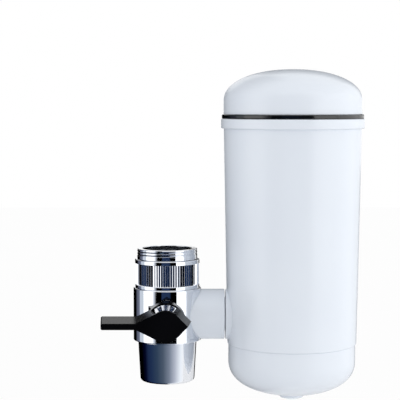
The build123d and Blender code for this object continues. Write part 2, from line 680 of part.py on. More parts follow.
def filter_housing():
    """White tapered housing with a collar at its mouth and a boss for the arm."""
    mouth_r = SKIRT_R + LOOSE_FIT
    inner_low = HOUSING_BOTTOM_R - HOUSING_WALL
    inner_high = HOUSING_TOP_R - HOUSING_WALL - HOUSING_NECK
    shell = turned(
        (inner_low, HOUSING_BOTTOM_Z),
        (HOUSING_BOTTOM_R, HOUSING_BOTTOM_Z),
        (HOUSING_TOP_R, COLLAR_Z),
        (COLLAR_R - COLLAR_EDGE, COLLAR_Z),
        (COLLAR_R, COLLAR_Z + COLLAR_EDGE),
        (COLLAR_R, HOUSING_TOP_Z - COLLAR_EDGE),
        (COLLAR_R - COLLAR_EDGE, HOUSING_TOP_Z),
        (mouth_r, HOUSING_TOP_Z),
        (mouth_r, MOUTH_Z),
        (inner_high, MOUTH_Z - HOUSING_NECK),
    )
    boss = to_side(rod(ARM_R, ARM_END_X + ARM_GROOVE, FILTER_X))
    inner_boss = to_side(rod(INNER_BOSS_R, ARM_END_X + ARM_GROOVE, INNER_BOSS_X))
    inside = at_filter(turned(
        (0, HOUSING_BOTTOM_Z), (inner_low + 1, HOUSING_BOTTOM_Z), (inner_high + 1, MOUTH_Z), (0, MOUTH_Z)
    ))
    shape = at_filter(shell) + (boss - inside) + inner_boss
    shape -= to_side(rod(ARM_TAIL_R + LOOSE_FIT, ARM_END_X, ARM_TAIL_X))
    shape -= to_side(rod(CLIP_R + LOOSE_FIT, CLIP_X, CLIP_X + CLIP_WIDTH))
    return shape - to_side(rod(PORT_R, ARM_TAIL_X, INNER_BOSS_X))


def seal_ring():
    """Glossy black ring between the housing's collar and the cap."""
    return at_filter(turned(
        (SKIRT_R + RUN_FIT, HOUSING_TOP_Z),
        (SEAL_R - SEAL_EDGE, HOUSING_TOP_Z),
        (SEAL_R, HOUSING_TOP_Z + SEAL_EDGE),
        (SEAL_R, CAP_LOW_Z - SEAL_EDGE),
        (SEAL_R - SEAL_EDGE, CAP_LOW_Z),
        (SKIRT_R + RUN_FIT, CAP_LOW_Z),
    ))


def top_cap():
    """Domed white cap with a skirt that screws into the housing's mouth."""
    skirt_in = SKIRT_R - SKIRT_WALL
    skirt_low = CAP_LOW_Z - SKIRT_LENGTH
    inner_r = CAP_R - CAP_WALL
    outer = dome_curve(CAP_R, CAP_DOME_Z, CAP_DOME_HEIGHT, CAP_FULLNESS)
    inner = dome_curve(inner_r, CAP_DOME_Z, CAP_DOME_HEIGHT - CAP_WALL, CAP_FULLNESS)
    rim = [(inner_r, CAP_LOW_Z + CAP_WALL), (skirt_in, CAP_LOW_Z + CAP_WALL), (skirt_in, skirt_low)]
    rim += [(SKIRT_R, skirt_low), (SKIRT_R, CAP_LOW_Z), (CAP_R, CAP_LOW_Z)]
    return at_filter(domed(outer, inner, *rim))


def bottom_cap():
    """Domed foot of the housing with the outlet nub below and the cartridge's socket inside."""
    inner_r = BOTTOM_R - BOTTOM_WALL
    plug_r = HOUSING_BOTTOM_R - HOUSING_WALL - LOOSE_FIT
    plug_in = plug_r - BOTTOM_SPIGOT_WALL
    plug_top = HOUSING_BOTTOM_Z + BOTTOM_SPIGOT
    outer = dome_curve(BOTTOM_R, BOTTOM_DOME_Z, -BOTTOM_DOME_HEIGHT, BOTTOM_FULLNESS)
    inner = dome_curve(inner_r, BOTTOM_DOME_Z, BOTTOM_WALL - BOTTOM_DOME_HEIGHT, BOTTOM_FULLNESS)
    rim = [(inner_r, HOUSING_BOTTOM_Z - BOTTOM_WALL), (plug_in, HOUSING_BOTTOM_Z), (plug_in, plug_top)]
    rim += [(plug_r, plug_top), (plug_r, HOUSING_BOTTOM_Z), (BOTTOM_R - BOTTOM_EDGE, HOUSING_BOTTOM_Z)]
    rim += [(BOTTOM_R, HOUSING_BOTTOM_Z - BOTTOM_EDGE)]
    shape = domed(outer, inner, *rim)
    pole = BOTTOM_POLE_Z + BOTTOM_WALL / 2
    shape += turned(
        (0, NUB_Z), (NUB_R - NUB_EDGE, NUB_Z), (NUB_R, NUB_Z + NUB_EDGE), (NUB_R, pole), (0, pole)
    )
    shape += rod(SOCKET_R, pole, SOCKET_TOP_Z)
    start = SOCKET_R - GUSSET_WIDTH
    end = SOCKET_R + GUSSET_REACH
    middle_r = (BOTTOM_R + inner_r) / 2
    foot = BOTTOM_DOME_Z - dome_rise(end, middle_r, BOTTOM_DOME_HEIGHT - BOTTOM_WALL / 2, BOTTOM_FULLNESS)
    outline = [(start, pole), (end, foot), (end, foot + GUSSET_TIP), (start, SOCKET_TOP_Z - GUSSET_WIDTH)]
    gusset = make_face(Polyline(*[(r, 0, z) for r, z in outline], close=True).edges())
    plate = extrude(gusset, amount=GUSSET_WIDTH / 2, both=True)
    for index in range(GUSSETS):
        shape += Rot(0, 0, index * 360 / GUSSETS) * plate
    shape -= rod(SOCKET_BORE_R, CART_SPIGOT_Z - LOOSE_FIT, SOCKET_TOP_Z)
    shape -= rod(NUB_BORE_R, NUB_Z, SOCKET_TOP_Z)
    return at_filter(shape)


def cartridge_span():
    """Lowest and highest height of the tubes held between the cartridge's end discs."""
    return SOCKET_TOP_Z + CART_DISC, CART_TOP_Z


def cartridge_bottom():
    """Lower end disc with a spigot that plugs into the housing's socket."""
    floor_r = CART_RING_R - RING_SECTION_R - RUN_FIT
    shape = rod(CART_R, SOCKET_TOP_Z, SOCKET_TOP_Z + CART_DISC)
    shape += rod(CART_SPIGOT_R, CART_SPIGOT_Z, SOCKET_TOP_Z)
    shape -= groove(CART_SPIGOT_R, floor_r, CART_RING_Z)
    return at_filter(shape - rod(CART_BORE_R, CART_SPIGOT_Z, SOCKET_TOP_Z + CART_DISC))


def cartridge_o_ring():
    """O-ring on the cartridge's spigot."""
    return at_filter(o_ring(CART_RING_R, RING_SECTION_R, CART_RING_Z))


def carbon_block():
    """Pressed carbon tube that the water passes from outside to inside."""
    low, high = cartridge_span()
    radius = CART_R - SLEEVE_WALL - WRAP_WALL - LOOSE_FIT * 2
    return at_filter(tube(radius, CARBON_BORE_R, low, high))


def fleece_wrap():
    """Fleece tube around the carbon that stops coarse dirt."""
    low, high = cartridge_span()
    outer = CART_R - SLEEVE_WALL - LOOSE_FIT
    return at_filter(tube(outer, outer - WRAP_WALL, low, high))


def cartridge_sleeve():
    """Plastic cage around the fleece with rows of windows."""
    low, high = cartridge_span()
    shape = tube(CART_R, CART_R - SLEEVE_WALL, low, high)
    row = (high - low - SLEEVE_BAR) / SLEEVE_ROWS
    for index in range(SLEEVE_ROWS):
        middle = low + SLEEVE_BAR + row * index + (row - SLEEVE_BAR) / 2
        slot = Pos(0, 0, middle) * Box(CART_R * 3, SLEEVE_WINDOW_WIDTH, row - SLEEVE_BAR)
        for turn in range(SLEEVE_COLUMNS // 2):
            shape -= Rot(0, 0, turn * 360 / SLEEVE_COLUMNS) * slot
    return at_filter(shape)


def cartridge_top():
    """Upper end disc with a knob to lift the cartridge out."""
    shape = rod(CART_R, CART_TOP_Z, CART_TOP_Z + CART_DISC)
    return at_filter(shape + rod(KNOB_R, CART_TOP_Z + CART_DISC, CART_TOP_Z + CART_DISC + KNOB_HEIGHT))


NODES = {
    "faucet_adapter": faucet_adapter(),
    "faucet_washer": faucet_washer(),
    "union_nut": union_nut(),
    "neck_gasket": neck_gasket(),
    "neck_snap_ring": neck_snap_ring(),
    "valve_body": valve_body(),
    "bonnet": bonnet(),
    "valve_spool": valve_spool(),
    "spool_o_ring_front": to_front(o_ring(SPOOL_RING_R, RING_SECTION_R, SPOOL_RING_FRONT)),
    "spool_o_ring_back": to_front(o_ring(SPOOL_RING_R, RING_SECTION_R, SPOOL_RING_BACK)),
    "stem_o_ring": to_front(o_ring(STEM_RING_R, RING_SECTION_R, STEM_RING_OUT)),
    "lever": lever(),
    "lever_insert": lever_insert(),
    "aerator_shell": aerator_shell(),
    "aerator_washer": aerator_washer(),
    "aerator_insert": aerator_insert(),
    "aerator_screen": aerator_screen(),
    "outlet_arm": outlet_arm(),
    "arm_o_ring_valve": arm_o_ring(0),
    "arm_o_ring_filter": arm_o_ring(1),
    "arm_clip": arm_clip(),
    "filter_housing": filter_housing(),
    "seal_ring": seal_ring(),
    "top_cap": top_cap(),
    "bottom_cap": bottom_cap(),
    "cartridge_bottom": cartridge_bottom(),
    "cartridge_o_ring": cartridge_o_ring(),
    "carbon_block": carbon_block(),
    "fleece_wrap": fleece_wrap(),
    "cartridge_sleeve": cartridge_sleeve(),
    "cartridge_top": cartridge_top(),
}

os.makedirs("parts", exist_ok=True)
for name, shape in NODES.items():
    export_step(shape, f"parts/{name}.step")
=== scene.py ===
"""Dressed model of a tap-end water filter: plated valve with a black lever, white domed housing."""

import json
import logging
import math
from collections.abc import Callable, Sequence
from dataclasses import dataclass
from enum import Enum

import bpy
import numpy as np
from mathutils import Euler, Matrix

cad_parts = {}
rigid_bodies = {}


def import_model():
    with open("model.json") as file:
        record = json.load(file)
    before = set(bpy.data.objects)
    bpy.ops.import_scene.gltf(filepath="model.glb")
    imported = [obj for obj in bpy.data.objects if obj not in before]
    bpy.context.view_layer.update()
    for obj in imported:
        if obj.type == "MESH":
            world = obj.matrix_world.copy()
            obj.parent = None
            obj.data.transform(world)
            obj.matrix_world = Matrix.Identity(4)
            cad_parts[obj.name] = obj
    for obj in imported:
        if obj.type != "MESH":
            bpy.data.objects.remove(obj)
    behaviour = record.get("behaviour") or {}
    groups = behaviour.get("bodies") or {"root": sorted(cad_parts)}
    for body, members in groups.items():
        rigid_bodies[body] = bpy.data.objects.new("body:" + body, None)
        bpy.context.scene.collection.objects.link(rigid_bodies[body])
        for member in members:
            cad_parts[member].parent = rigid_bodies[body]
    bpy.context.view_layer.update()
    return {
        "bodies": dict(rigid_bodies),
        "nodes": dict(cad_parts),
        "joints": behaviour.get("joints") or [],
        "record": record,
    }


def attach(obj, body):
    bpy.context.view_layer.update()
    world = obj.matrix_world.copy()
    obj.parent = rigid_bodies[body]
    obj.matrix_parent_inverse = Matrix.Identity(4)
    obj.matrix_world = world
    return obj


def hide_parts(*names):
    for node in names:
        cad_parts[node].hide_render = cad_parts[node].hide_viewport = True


LOG = logging.getLogger("water_filter")

MM = 0.001
IMAGE_PIXELS = 400
SENSOR_MM = 36.0

# Steps round a large and a small turned shell, and how near counts as equal.
ROUND_STEPS = 256
BOSS_STEPS = 128
NEAR_ZERO = 1e-6

# Sizes in millimetres that several sub-assemblies share; boss and arm lie on the cross axis.
CROSS_AXIS_Z = -31.0
ARM_R = 11.7
ARM_END = 26.7
FILTER_X = 58.3
FILTER_BOTTOM = -44.5
HOUSING_TOP = 60.3
SEAL_TOP = 62.3

# A corner is (across, along, rounding), a stop (azimuth or position, colour), and a relief gives the
# change of radius at an angle on a row of (radius, height).
Corner = tuple[float, float, float]
Colour = tuple[float, float, float]
Stop = tuple[float, Colour]
Relief = Callable[[np.ndarray, np.ndarray], np.ndarray]


class Body(Enum):
    """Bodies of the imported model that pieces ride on."""

    ADAPTER = "adapter"
    VALVE = "valve"
    NUT = "nut"
    SEAL = "cap_seal"
    CAP = "cap"


class Finish(Enum):
    """Looks: the record's material slots, and the seal's own gloss."""

    CHROME = "chrome"
    WHITE = "white_plastic"
    BLACK = "black_plastic"
    INNER = "inner_plastic"
    RUBBER = "rubber"
    BRASS = "brass"
    STEEL = "spring_steel"
    CARBON = "carbon"
    FLEECE = "fleece"
    SEAL = "seal_gloss"


@dataclass
class Shell:
    """Points in millimetres and the faces between them."""

    points: np.ndarray
    faces: list[tuple[int, ...]]

    def __add__(self, other: "Shell") -> "Shell":
        """Put two shells in one, still as separate surfaces.

        Args:
            other: the second shell.

        Returns:
            A shell with the points and faces of both.
        """
        shift = len(self.points)
        moved = [tuple(index + shift for index in face) for face in other.faces]
        return Shell(np.vstack([self.points, other.points]), self.faces + moved)

    def to_front(self, height: float) -> "Shell":
        """The shell turned so that its own axis runs out to the front at a height."""
        x, y, z = self.points.T
        return Shell(np.column_stack([x, -z, y + height]), self.faces)

    def to_side(self, height: float) -> "Shell":
        """The shell turned so that its own axis runs to the filter at a height."""
        x, y, z = self.points.T
        return Shell(np.column_stack([z, y, height - x]), self.faces)

    def shifted(self, across: float) -> "Shell":
        """The shell moved along X."""
        return Shell(self.points + np.array([across, 0.0, 0.0]), self.faces)


def unit(vector: np.ndarray) -> np.ndarray:
    """The vector at length one."""
    return vector / np.linalg.norm(vector)


def rounded_outline(corners: Sequence[Corner], closed: bool = True, steps: int = 5) -> np.ndarray:
    """Bend an outline at its corners.

    Each corner is replaced by an arc that touches both sides: its centre lies on the bisector at
    rounding / sin(half angle), and a guard point beside each end keeps the flat sides flat.

    Args:
        corners: (across, along, rounding) of each corner, counter-clockwise.
        closed: whether the last corner joins the first.
        steps: spans along each arc.

    Returns:
        Points of the outline, one row each.
    """
    points = np.array([corner[:2] for corner in corners], float)
    rows: list[np.ndarray] = []
    last = len(corners) - 1
    for index, (_, _, rounding) in enumerate(corners):
        here = points[index]
        if rounding <= 0 or (not closed and index in (0, last)):
            rows.append(here[None])
            continue
        before = unit(points[index - 1] - here)
        after = unit(points[(index + 1) % len(points)] - here)
        half = 0.5 * math.acos(float(np.clip(before @ after, -1, 1)))
        reach = rounding / math.tan(half)
        centre = here + unit(before + after) * rounding / math.sin(half)
        start, end = here + before * reach - centre, here + after * reach - centre
        sweep = math.pi - 2 * half
        share = np.linspace(0, 1, steps + 1)[:, None]
        arc = (np.sin((1 - share) * sweep) * start + np.sin(share * sweep) * end) / math.sin(sweep)
        guard = 0.3 * rounding
        rows.append((centre + start + before * guard)[None])
        rows.append(centre + arc)
        rows.append((centre + end + after * guard)[None])
    return np.vstack(rows)


def wrapped_faces(rings: int, segments: int, closed: bool = True) -> list[tuple[int, ...]]:
    """Quads between rings of points that each run once round.

    Args:
        rings: how many rings there are.
        segments: points in each ring.
        closed: whether the last ring joins the first.

    Returns:
        The quads, for points laid ring after ring.
    """
    row = np.arange(rings if closed else rings - 1)[:, None]
    column = np.arange(segments)[None, :]
    after = (column + 1) % segments
    here, above = row * segments, (row + 1) % rings * segments
    corners = [here + column, here + after, above + after, above + column]
    return [tuple(quad) for quad in np.stack(corners, axis=-1).reshape(-1, 4).tolist()]


def turned(
    outline: np.ndarray,
    segments: int = 160,
    relief: Relief | None = None,
    angle: np.ndarray | None = None,
) -> Shell:
    """Turn an outline about the vertical axis.

    The point for outline row i and angle a is (r cos a, r sin a, z), with r the row's first number
    plus the relief at that angle and row. An end on the axis becomes a single pole.

    Args:
        outline: rows of (radius, height), with the outside climbing.
        segments: even steps round the axis.
        relief: extra radius as a function of the angle and the row's (radius, height).
        angle: uneven steps, which take the place of the even ones.

    Returns:
        A closed shell, or a dome between two poles.
    """
    if angle is None:
        angle = np.linspace(0, 2 * math.pi, segments, endpoint=False)
    segments = len(angle)
    poles = outline[0, 0] < NEAR_ZERO
    rings = outline[1:-1] if poles else outline
    radius = rings[:, :1] + np.zeros((1, segments))
    if relief is not None:
        radius = radius + relief(angle[None, :], rings)
    height = rings[:, 1:] + np.zeros((1, segments))
    points = np.stack([radius * np.cos(angle), radius * np.sin(angle), height], axis=-1).reshape(-1, 3)
    faces = wrapped_faces(len(rings), segments, closed=not poles)
    if poles:
        first, second = len(points), len(points) + 1
        tips = np.array([[0, 0, outline[0, 1]], [0, 0, outline[-1, 1]]])
        points = np.vstack([points, tips])
        turn = np.arange(segments)
        pairs = np.column_stack([turn, (turn + 1) % segments]).tolist()
        top = (len(rings) - 1) * segments
        faces += [(first, b, a) for a, b in pairs]
        faces += [(second, top + a, top + b) for a, b in pairs]
    return Shell(points, faces)


# Places of the sockets that a Mix node uses for colours.
MIX_FACTOR = 0
MIX_FIRST = 6
MIX_SECOND = 7
MIX_RESULT = 2


class Value:
    """A shader socket that takes part in Python arithmetic; each operator adds a Math node."""

    def __init__(self, graph: "Graph", socket: bpy.types.NodeSocket) -> None:
        """Keep the socket and the graph that it belongs to."""
        self.graph = graph
        self.socket = socket

    def _math(self, operation: str, *terms: "Value | float") -> "Value":
        """One Math node on the given terms."""
        return self.graph.node("ShaderNodeMath", {"operation": operation}, dict(enumerate(terms)))

    def __add__(self, other: "Value | float") -> "Value":
        """Sum."""
        return self._math("ADD", self, other)

    def __sub__(self, other: "Value | float") -> "Value":
        """Difference."""
        return self._math("SUBTRACT", self, other)

    def __rsub__(self, other: float) -> "Value":
        """Reflected difference."""
        return self._math("SUBTRACT", other, self)

    def __mul__(self, other: "Value | float") -> "Value":
        """Product."""
        return self._math("MULTIPLY", self, other)

    def __truediv__(self, other: "Value | float") -> "Value":
        """Quotient."""
        return self._math("DIVIDE", self, other)

    def angle_from(self, other: "Value") -> "Value":
        """Angle in radians whose tangent is this value over the other."""
        return self._math("ARCTAN2", self, other)

    def smooth(self, low: float, high: float) -> "Value":
        """Rise from 0 at low to 1 at high along an S curve."""
        settings = {"interpolation_type": "SMOOTHSTEP"}
        return self.graph.node("ShaderNodeMapRange", settings, {0: self, 1: low, 2: high})


class Graph:
    """Nodes of one material or world, added by one method."""

    def __init__(self, tree: bpy.types.NodeTree) -> None:
        """Empty the tree and keep it."""
        tree.nodes.clear()
        self.tree = tree

    def node(
        self,
        kind: str,
        settings: dict[str, object] | None = None,
        values: dict[int | str, object] | None = None,
        out: int | str = 0,
    ) -> Value:
        """Add a node.

        Args:
            kind: the node's type.
            settings: attributes set first, such as a Math node's operation.
            values: links or constants of its sockets, by place or name.
            out: the output that is handed back.

        Returns:
            That output, ready for arithmetic, or the first input of a node without outputs.
        """
        made = self.tree.nodes.new(kind)
        for name, setting in (settings or {}).items():
            if name == "stops":
                self._stops(made.color_ramp.elements, setting)
            else:
                setattr(made, name, setting)
        for key, value in (values or {}).items():
            if isinstance(value, Value):
                self.tree.links.new(value.socket, made.inputs[key])
            else:
                made.inputs[key].default_value = value
        return Value(self, made.outputs[out] if len(made.outputs) else made.inputs[0])

    @staticmethod
    def _stops(elements: bpy.types.ColorRampElements, stops: Sequence[Stop]) -> None:
        """Set a ramp's stops: its own two become the first and the last.

        Args:
            elements: the new ramp's own two stops.
            stops: (position from 0 to 1, colour) of each stop, in order.
        """
        for element, (position, colour) in zip(elements, (stops[0], stops[-1])):
            element.position = position
            element.color = (*colour, 1.0)
        for position, colour in stops[1:-1]:
            elements.new(position).color = (*colour, 1.0)

    def place(self) -> Value:
        """Object coordinates, in metres in the model's frame."""
        return self.node("ShaderNodeTexCoord", out="Object")

    def azimuth(self) -> Value:
        """Angle round the valve's axis, from the arc tangent of x over -y.

        Returns:
            Degrees, 0 on the camera's side and 90 on the filter's.
        """
        place = {"Vector": self.place()}
        x = self.node("ShaderNodeSeparateXYZ", values=place, out="X")
        y = self.node("ShaderNodeSeparateXYZ", values=place, out="Y")
        return x.angle_from(0.0 - y) * math.degrees(1.0)

    def noise(self, scale: float, detail: float = 3.0) -> Value:
        """Seedless noise from 0 to 1 on the object's own coordinates."""
        values = {"Vector": self.place(), "Scale": scale, "Detail": detail}
        return self.node("ShaderNodeTexNoise", values=values)

    def mix(self, factor: Value, first: Colour, second: Colour | Value) -> Value:
        """Blend from the first colour to the second.

        Args:
            factor: the second colour's share, from 0 to 1.
            first: the colour at 0.
            second: the colour at 1.

        Returns:
            The blended colour.
        """
        last = second if isinstance(second, Value) else (*second, 1.0)
        values = {MIX_FACTOR: factor, MIX_FIRST: (*first, 1.0), MIX_SECOND: last}
        return self.node("ShaderNodeMix", {"data_type": "RGBA"}, values, out=MIX_RESULT)

    def bump(self, height: Value, strength: float, distance: float) -> Value:
        """Normal that follows a height in metres."""
        values = {"Height": height, "Strength": strength, "Distance": distance}
        return self.node("ShaderNodeBump", values=values, out="Normal")

    def surface(self, values: dict[int | str, object]) -> None:
        """Principled shader on the material's output."""
        shader = self.node("ShaderNodeBsdfPrincipled", values=values, out="BSDF")
        self.node("ShaderNodeOutputMaterial", values={"Surface": shader})


def new_material(name: str) -> tuple[bpy.types.Material, Graph]:
    """Add a node material.

    Args:
        name: the material's name.

    Returns:
        The material and its empty graph.
    """
    material = bpy.data.materials.new(name)
    material.use_nodes = True
    return material, Graph(material.node_tree)


@dataclass(frozen=True)
class Plating:
    """Bright plating: nearly a mirror, with faint wipe marks and orange peel."""

    name: str = "chrome_plating"
    tint: Colour = (0.88, 0.90, 0.94)
    wiped: Colour = (0.85, 0.87, 0.92)
    roughness: float = 0.03
    smear: float = 0.05
    wipe_scale: float = 55.0
    wipe_edges: tuple[float, float] = (0.45, 0.75)
    peel_scale: float = 420.0
    peel_strength: float = 0.02
    peel_height: float = 0.0001

    def make(self) -> bpy.types.Material:
        """Build the material.

        Returns:
            The new material.
        """
        material, graph = new_material(self.name)
        wipes = graph.noise(self.wipe_scale, detail=4.0).smooth(*self.wipe_edges)
        normal = graph.bump(graph.noise(self.peel_scale, detail=1.0), self.peel_strength, self.peel_height)
        graph.surface({
            "Base Color": graph.mix(wipes, self.tint, self.wiped),
            "Metallic": 1.0,
            "Roughness": wipes * self.smear + self.roughness,
            "Normal": normal,
        })
        return material


@dataclass(frozen=True)
class GlossMoulding:
    """Glossy moulded plastic: even colour with faint flow marks and a soft ripple in the gloss."""

    name: str
    colour: Colour
    flow: Colour
    roughness: float
    specular: float = 0.5
    flow_scale: float = 30.0
    flow_edges: tuple[float, float] = (0.35, 0.75)
    flow_dulling: float = 0.02
    haze_scale: float = 900.0
    haze: float = 0.03
    ripple_scale: float = 180.0
    ripple: float = 0.02
    ripple_height: float = 0.0001

    def make(self) -> bpy.types.Material:
        """Build the material.

        Returns:
            The new material.
        """
        material, graph = new_material(self.name)
        marks = graph.noise(self.flow_scale, detail=3.0).smooth(*self.flow_edges)
        fine = graph.noise(self.haze_scale, detail=2.0)
        normal = graph.bump(graph.noise(self.ripple_scale, detail=2.0), self.ripple, self.ripple_height)
        graph.surface({
            "Base Color": graph.mix(marks, self.colour, self.flow),
            "Roughness": fine * self.haze + marks * self.flow_dulling + self.roughness,
            "Specular IOR Level": self.specular,
            "Normal": normal,
        })
        return material


@dataclass(frozen=True)
class MattSolid:
    """Matt or metallic solid with grain: rubber, satin moulding, brass, spring steel, carbon, fleece."""

    name: str
    colour: Colour
    grain_colour: Colour
    grain_scale: float
    grain_height: float
    roughness: float
    metallic: float = 0.0
    cells: bool = False
    grain_edges: tuple[float, float] = (0.25, 0.75)
    grain_dulling: float = 0.12
    grain_strength: float = 0.6

    def make(self) -> bpy.types.Material:
        """Build the material.

        Returns:
            The new material.
        """
        material, graph = new_material(self.name)
        if self.cells:
            values = {"Vector": graph.place(), "Scale": self.grain_scale}
            grain = graph.node("ShaderNodeTexVoronoi", values=values, out="Distance")
        else:
            grain = graph.noise(self.grain_scale, detail=4.0)
        mask = grain.smooth(*self.grain_edges)
        graph.surface({
            "Base Color": graph.mix(mask, self.colour, self.grain_colour),
            "Metallic": self.metallic,
            "Roughness": mask * self.grain_dulling + self.roughness,
            "Normal": graph.bump(grain, self.grain_strength, self.grain_height),
        })
        return material


FINISHES = {
    Finish.CHROME: Plating(),
    Finish.WHITE: GlossMoulding("gloss_white", (0.80, 0.85, 0.92), (0.785, 0.835, 0.91), roughness=0.22),
    Finish.BLACK: GlossMoulding(
        "gloss_black", (0.0015, 0.0015, 0.002), (0.003, 0.003, 0.004), roughness=0.22, specular=0.05
    ),
    Finish.SEAL: GlossMoulding(
        "seal_gloss", (0.001, 0.002, 0.003), (0.003, 0.004, 0.006), roughness=0.1, specular=0.8
    ),
    Finish.INNER: MattSolid(
        "satin_moulding", (0.72, 0.74, 0.78), (0.66, 0.69, 0.74),
        grain_scale=700.0, grain_height=0.00004, roughness=0.45,
    ),
    Finish.RUBBER: MattSolid(
        "rubber_black", (0.015, 0.015, 0.016), (0.03, 0.03, 0.032),
        grain_scale=1600.0, grain_height=0.00005, roughness=0.6,
    ),
    Finish.BRASS: MattSolid(
        "machined_brass", (0.62, 0.43, 0.17), (0.7, 0.52, 0.25),
        grain_scale=900.0, grain_height=0.00002, roughness=0.22, metallic=1.0,
    ),
    Finish.STEEL: MattSolid(
        "spring_steel", (0.5, 0.51, 0.53), (0.62, 0.63, 0.65),
        grain_scale=1200.0, grain_height=0.00002, roughness=0.25, metallic=1.0,
    ),
    Finish.CARBON: MattSolid(
        "pressed_carbon", (0.012, 0.012, 0.013), (0.05, 0.05, 0.052),
        grain_scale=900.0, grain_height=0.0003, roughness=0.75, cells=True,
    ),
    Finish.FLEECE: MattSolid(
        "fleece_cloth", (0.82, 0.82, 0.8), (0.68, 0.68, 0.66),
        grain_scale=2200.0, grain_height=0.0002, roughness=0.85,
    ),
}


class Palette:
    """The finishes as Blender materials, made once."""

    def __init__(self) -> None:
        """Make every finish."""
        self.materials = {finish: FINISHES[finish].make() for finish in Finish}

    def dress_frame(self, frame: dict[str, object]) -> None:
        """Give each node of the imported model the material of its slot.
        """
        slots = {entry["node"]: Finish(entry["material_slot"]) for entry in frame["record"]["subparts"]}
        for name, node in frame["nodes"].items():
            node.data.materials.clear()
            node.data.materials.append(self.materials[slots[name]])


def place_piece(
    palette: Palette,
    name: str,
    shell: Shell,
    finish: Finish,
    body: Body,
    stands_for: Sequence[str],
    crease: float = 40.0,
    look: Finish | None = None,
) -> None:
    """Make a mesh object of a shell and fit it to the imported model.

    Args:
        palette: the materials.
        name: the piece's name.
        shell: its points, in millimetres, and faces.
        finish: its slot in the record.
        body: the body that it rides on.
        stands_for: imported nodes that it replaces.
        crease: angle in degrees from which an edge stays sharp.
        look: the material it wears, where that isn't the slot's own.
    """
    mesh = bpy.data.meshes.new(name)
    mesh.from_pydata((shell.points * MM).tolist(), [], shell.faces)
    mesh.shade_smooth()
    mesh.set_sharp_from_angle(angle=math.radians(crease))
    mesh.materials.append(palette.materials[look or finish])
    piece = bpy.data.objects.new(name, mesh)
    bpy.context.scene.collection.objects.link(piece)
    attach(piece, body.value)
    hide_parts(*stands_for)
    LOG.info("%s: %d faces on %s", name, len(mesh.polygons), body.value)


@dataclass
class TapAdapter:
    """Threaded sleeve at the top; heights count from its top face."""

    outer: float = 14.0
    bore: float = 11.46
    bore_depth: float = 7.0
    seat: float = 11.9
    seat_depth: float = 2.0
    hole: float = 8.0
    nut_seat: float = 13.0
    shoulder: float = -4.8
    bottom: float = -12.0
    rim: float = 0.15
    pitch: float = 1.36
    thread_start: float = 0.27
    thread_depth: float = 0.2
    thread_shares: tuple[float, ...] = (0.0, 0.35, 0.385, 0.6, 1.0)
    thread_depths: tuple[float, ...] = (0.0, 0.0, 1.0, 1.0, 0.0)
    lead_in: float = 0.2
    run_out: float = 0.4
    plain: float = 1.3
    skin: float = 0.35
    margins: tuple[float, float] = (0.24, 0.1)
    rows: int = 200
    segments: int = 288
    crease: float = 30.0

    def thread(self, angle: np.ndarray, rows: np.ndarray) -> np.ndarray:
        """Fine right-hand thread.

        The turn count is height / pitch - angle / turn + start. Within each turn the depth runs in straight
        lines through the shares and depths, with a steep upper flank on each crest and a gentle lower one.
        It fades in below the top edge and out above a plain length on the shoulder.

        Args:
            angle: angles round the axis, one row.
            rows: (radius, height) of the outline.

        Returns:
            Change of radius for each row and angle.
        """
        height = rows[:, 1:]
        count = height / self.pitch - angle / (2 * math.pi) + self.thread_start
        groove = np.interp(np.mod(count, 1.0), self.thread_shares, self.thread_depths)
        upper = np.clip(-height / self.lead_in, 0, 1)
        lower = np.clip((height - self.shoulder - self.plain) / self.run_out, 0, 1)
        outside = rows[:, :1] > self.outer - self.skin
        return -self.thread_depth * groove * (upper * lower) * outside

    def build(self, palette: Palette) -> None:
        """Make the sleeve, with close rows on its threaded side.

        Args:
            palette: the materials.
        """
        seat_z = -self.bore_depth - self.seat_depth
        plain = rounded_outline([
            (self.hole, self.bottom, 0.2),
            (self.nut_seat, self.bottom, 0.3),
            (self.nut_seat, self.shoulder, 0.05),
            (self.outer, self.shoulder, 0.15),
            (self.outer, 0.0, self.rim),
            (self.bore, 0.0, 0.25),
            (self.bore, -self.bore_depth, 0.05),
            (self.seat, -self.bore_depth, 0.05),
            (self.seat, seat_z, 0.1),
            (self.hole, seat_z, 0.2),
        ])
        radius, height = plain.T
        side = (np.abs(radius - self.outer) < NEAR_ZERO) & (height < -self.rim) & (height > self.shoulder)
        first, last = np.nonzero(side)[0][[0, -1]]
        above_shoulder, below_rim = self.margins
        close = np.linspace(self.shoulder + above_shoulder, -self.rim - below_rim, self.rows)
        threaded = np.column_stack([np.full(self.rows, self.outer), close])
        outline = np.vstack([plain[: first + 1], threaded, plain[last + 1:]])
        shell = turned(outline, self.segments, self.thread)
        place_piece(
            palette, "threaded_adapter", shell, Finish.CHROME, Body.ADAPTER, ["faucet_adapter"], self.crease
        )


